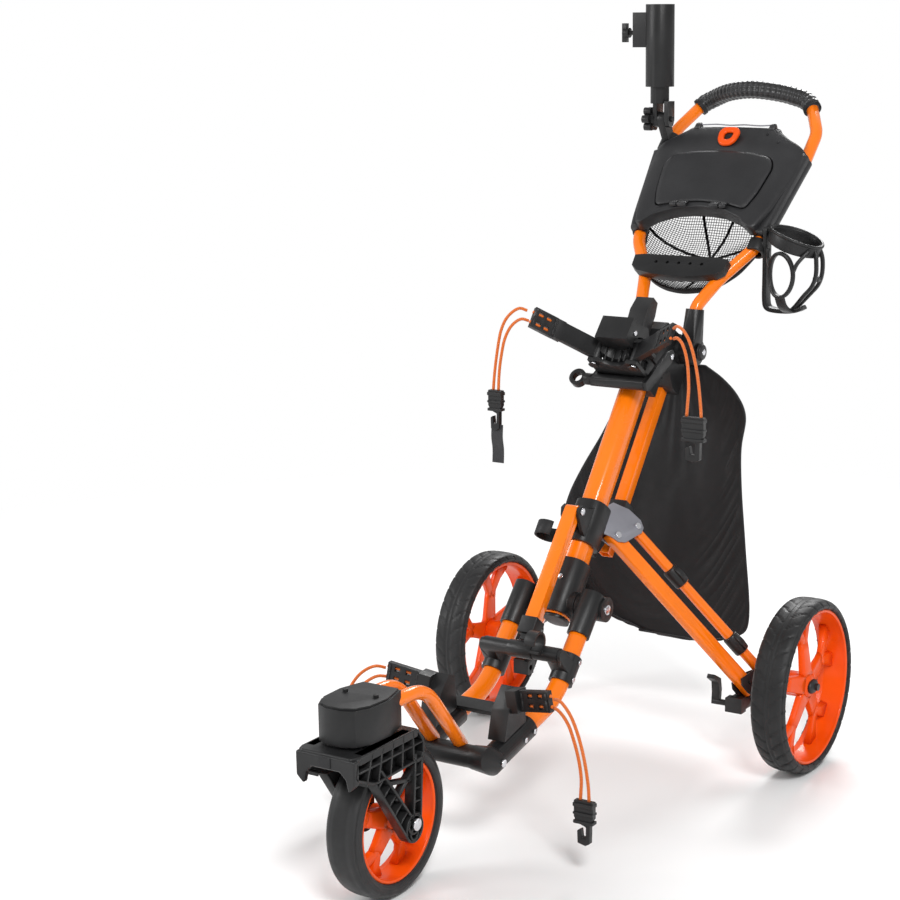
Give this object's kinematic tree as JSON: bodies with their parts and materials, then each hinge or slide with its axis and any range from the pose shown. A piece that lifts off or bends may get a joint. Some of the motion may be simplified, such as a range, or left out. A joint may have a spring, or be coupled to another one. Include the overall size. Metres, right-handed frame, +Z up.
{
  "type": "golf push cart",
  "caption": "Folding three-wheel golf push cart with a swivelling front wheel, two splayed rear legs, bag cradles, console, net pouch, bottle ring and umbrella holder.",
  "frame": {"origin": "centre of the bounding box's base, on the ground", "axes": "+Z up, -Y towards the front wheel, +X to the right-hand rear wheel as seen from the front"},
  "size_m": [0.6716, 1.3558, 1.252],
  "materials": {
    "orange_paint": "satin powder coat",
    "black_plastic": "fine grained moulding",
    "bare_steel": "plated",
    "grey_alloy": "cast, matt",
    "orange_plastic": "satin moulding",
    "tyre_foam": "closed foam",
    "black_rubber": "soft braided grip",
    "black_fabric": "plain weave",
    "black_net": "open mesh",
    "orange_elastic": "braided elastic cord"
  },
  "bodies": {
    "mast": {"mast_tube": "orange_paint", "guide_tube": "orange_paint", "mast_tee": "black_plastic", "mast_pins": "bare_steel", "upper_yoke": "black_plastic", "cradle_base": "black_plastic", "lock_bar": "black_plastic", "storage_bag": "black_fabric"},
    "lock_ring": {"lock_ring": "black_plastic"},
    "hinge_knob": {"hinge_knob": "black_plastic"},
    "arm_left": {"cradle_arm_left": "black_plastic", "bungee_upper_left": "orange_elastic", "hook_upper_left": "black_plastic"},
    "arm_right": {"cradle_arm_right": "black_plastic", "bungee_upper_right": "orange_elastic", "hook_upper_right": "black_plastic"},
    "hub": {"hub_slider": "black_plastic", "gussets": "grey_alloy", "hub_pins": "bare_steel", "tip_strap": "black_rubber"},
    "link": {"link_tube": "orange_paint", "link_foot": "black_plastic"},
    "leg_left": {"leg_tube_left": "orange_paint"},
    "leg_right": {"leg_tube_right": "orange_paint"},
    "stay_left": {"stay_tube_left": "orange_paint"},
    "stay_right": {"stay_tube_right": "orange_paint"},
    "bracket_left": {"wheel_bracket_left": "black_plastic"},
    "bracket_right": {"wheel_bracket_right": "black_plastic"},
    "pedal": {"brake_pedal": "black_plastic"},
    "wheel_left": {"rear_rim_left": "orange_plastic", "rear_tyre_left": "tyre_foam"},
    "wheel_right": {"rear_rim_right": "orange_plastic", "rear_tyre_right": "tyre_foam"},
    "front_frame": {"frame_knuckles": "black_plastic", "frame_tubes": "orange_paint", "crossbar": "black_plastic", "frame_elbows": "black_plastic", "arch_tubes": "orange_paint", "swivel_housing": "black_plastic", "lower_cradles": "black_plastic", "frame_screws": "bare_steel", "bungee_lower": "orange_elastic", "hooks_lower": "black_plastic"},
    "fork": {"fork": "black_plastic", "fork_axle": "bare_steel"},
    "front_wheel": {"front_rim": "orange_plastic", "front_tyre": "tyre_foam"},
    "handle": {"handle_sockets": "black_plastic", "handle_tubes": "orange_paint", "handle_grip": "black_rubber", "console_tray": "black_plastic", "tee_bar": "black_plastic", "bottle_cage": "black_plastic", "net_basket": "black_net", "umbrella_clamp": "black_plastic"},
    "lid": {"console_lid": "black_plastic"},
    "latch": {"lid_latch": "orange_plastic"},
    "umbrella": {"umbrella_holder": "black_plastic"},
    "tilt_knob": {"tilt_knob": "black_plastic"},
    "lock_knob": {"lock_knob": "black_plastic"}
  },
  "joints": [
    {"name": "frame_fold", "type": "hinge", "parent": "mast", "child": "front_frame", "pos_m": [0, -0.04861, 0.30776], "axis": [-1, 0, 0], "range_deg": [0, 100]},
    {"name": "hub_slide", "type": "slide", "parent": "mast", "child": "hub", "axis": [0, 0.6074, 0.7944], "range_m": [0, 0.1922]},
    {"name": "leg_fold_left", "type": "hinge", "parent": "hub", "child": "leg_left", "pos_m": [-0.0262, 0.0754, 0.3917], "axis": [-0.8201, -0.3176, 0.476], "range_deg": [0, 54.9]},
    {"name": "leg_fold_right", "type": "hinge", "parent": "hub", "child": "leg_right", "pos_m": [0.0262, 0.0754, 0.3917], "axis": [-0.8201, 0.3176, -0.476], "range_deg": [0, 54.9]},
    {"name": "stay_fold_left", "type": "hinge", "parent": "hub", "child": "stay_left", "pos_m": [-0.03894, 0.11906, 0.39888], "axis": [-0.8201, -0.3176, 0.476], "range_deg": [0, 54.9]},
    {"name": "stay_fold_right", "type": "hinge", "parent": "hub", "child": "stay_right", "pos_m": [0.03894, 0.11906, 0.39888], "axis": [-0.8201, 0.3176, -0.476], "range_deg": [0, 54.9]},
    {"name": "bracket_level_left", "type": "hinge", "parent": "leg_left", "child": "bracket_left", "pos_m": [-0.21531, 0.18566, 0.13944], "axis": [-0.8201, -0.3176, 0.476], "range_deg": [-54.9, 0]},
    {"name": "bracket_level_right", "type": "hinge", "parent": "leg_right", "child": "bracket_right", "pos_m": [0.21531, 0.18566, 0.13944], "axis": [-0.8201, 0.3176, -0.476], "range_deg": [-54.9, 0]},
    {"name": "rear_wheel_left_spin", "type": "hinge", "parent": "bracket_left", "child": "wheel_left", "pos_m": [-0.3048, 0.2161, 0.145], "axis": [1, 0, 0], "continuous": true},
    {"name": "rear_wheel_right_spin", "type": "hinge", "parent": "bracket_right", "child": "wheel_right", "pos_m": [0.3048, 0.2161, 0.145], "axis": [1, 0, 0], "continuous": true},
    {"name": "pedal_press", "type": "hinge", "parent": "bracket_right", "child": "pedal", "pos_m": [0.18, 0.1671, 0.108], "axis": [1, 0, 0], "range_deg": [0, 20]},
    {"name": "link_swing", "type": "hinge", "parent": "hub", "child": "link", "pos_m": [0, -0.01191, 0.4519], "axis": [-1, 0, 0], "range_deg": [0, 14.4]},
    {"name": "fork_swivel", "type": "hinge", "parent": "front_frame", "child": "fork", "pos_m": [0, -0.5919, 0.25], "axis": [0, 0, 1], "continuous": true},
    {"name": "front_wheel_spin", "type": "hinge", "parent": "fork", "child": "front_wheel", "pos_m": [0, -0.5389, 0.1137], "axis": [1, 0, 0], "continuous": true},
    {"name": "handle_fold", "type": "hinge", "parent": "mast", "child": "handle", "pos_m": [0, 0.30252, 0.6707], "axis": [-1, 0, 0], "range_deg": [0, 145], "deforming": ["storage_bag"]},
    {"name": "hinge_knob_turn", "type": "hinge", "parent": "mast", "child": "hinge_knob", "pos_m": [-0.08, 0.30252, 0.6707], "axis": [1, 0, 0], "continuous": true},
    {"name": "lid_open", "type": "hinge", "parent": "handle", "child": "lid", "pos_m": [0, 0.42049, 0.90846], "axis": [1, 0, 0], "range_deg": [0, 95]},
    {"name": "latch_turn", "type": "hinge", "parent": "handle", "child": "latch", "pos_m": [0, 0.5426, 1.01884], "axis": [0, -0.6972, 0.7169], "range_deg": [0, 90]},
    {"name": "umbrella_tilt", "type": "hinge", "parent": "handle", "child": "umbrella", "pos_m": [-0.14, 0.5581, 1.048], "axis": [1, 0, 0], "range_deg": [-10, 80]},
    {"name": "tilt_knob_turn", "type": "hinge", "parent": "umbrella", "child": "tilt_knob", "pos_m": [-0.17, 0.5581, 1.048], "axis": [1, 0, 0], "continuous": true},
    {"name": "lock_knob_turn", "type": "hinge", "parent": "umbrella", "child": "lock_knob", "pos_m": [-0.215, 0.5581, 1.202], "axis": [1, 0, 0], "continuous": true},
    {"name": "arm_swing_left", "type": "hinge", "parent": "mast", "child": "arm_left", "pos_m": [-0.037, 0.13612, 0.68766], "axis": [0, 0.6074, 0.7944], "range_deg": [-25, 30]},
    {"name": "arm_swing_right", "type": "hinge", "parent": "mast", "child": "arm_right", "pos_m": [0.037, 0.13612, 0.68766], "axis": [0, 0.6074, 0.7944], "range_deg": [-30, 25]},
    {"name": "lock_ring_turn", "type": "hinge", "parent": "mast", "child": "lock_ring", "pos_m": [-0.06, 0.14565, 0.63757], "axis": [1, 0, 0], "range_deg": [-20, 45]}
  ],
  "couplings": [
    {"joint": "hub_slide", "follows": "frame_fold", "m_per_rad": 0.11012},
    {"joint": "leg_fold_left", "follows": "frame_fold", "ratio": 0.549},
    {"joint": "leg_fold_right", "follows": "frame_fold", "ratio": 0.549},
    {"joint": "stay_fold_left", "follows": "frame_fold", "ratio": 0.549},
    {"joint": "stay_fold_right", "follows": "frame_fold", "ratio": 0.549},
    {"joint": "bracket_level_left", "follows": "frame_fold", "ratio": -0.549},
    {"joint": "bracket_level_right", "follows": "frame_fold", "ratio": -0.549}
  ]
}
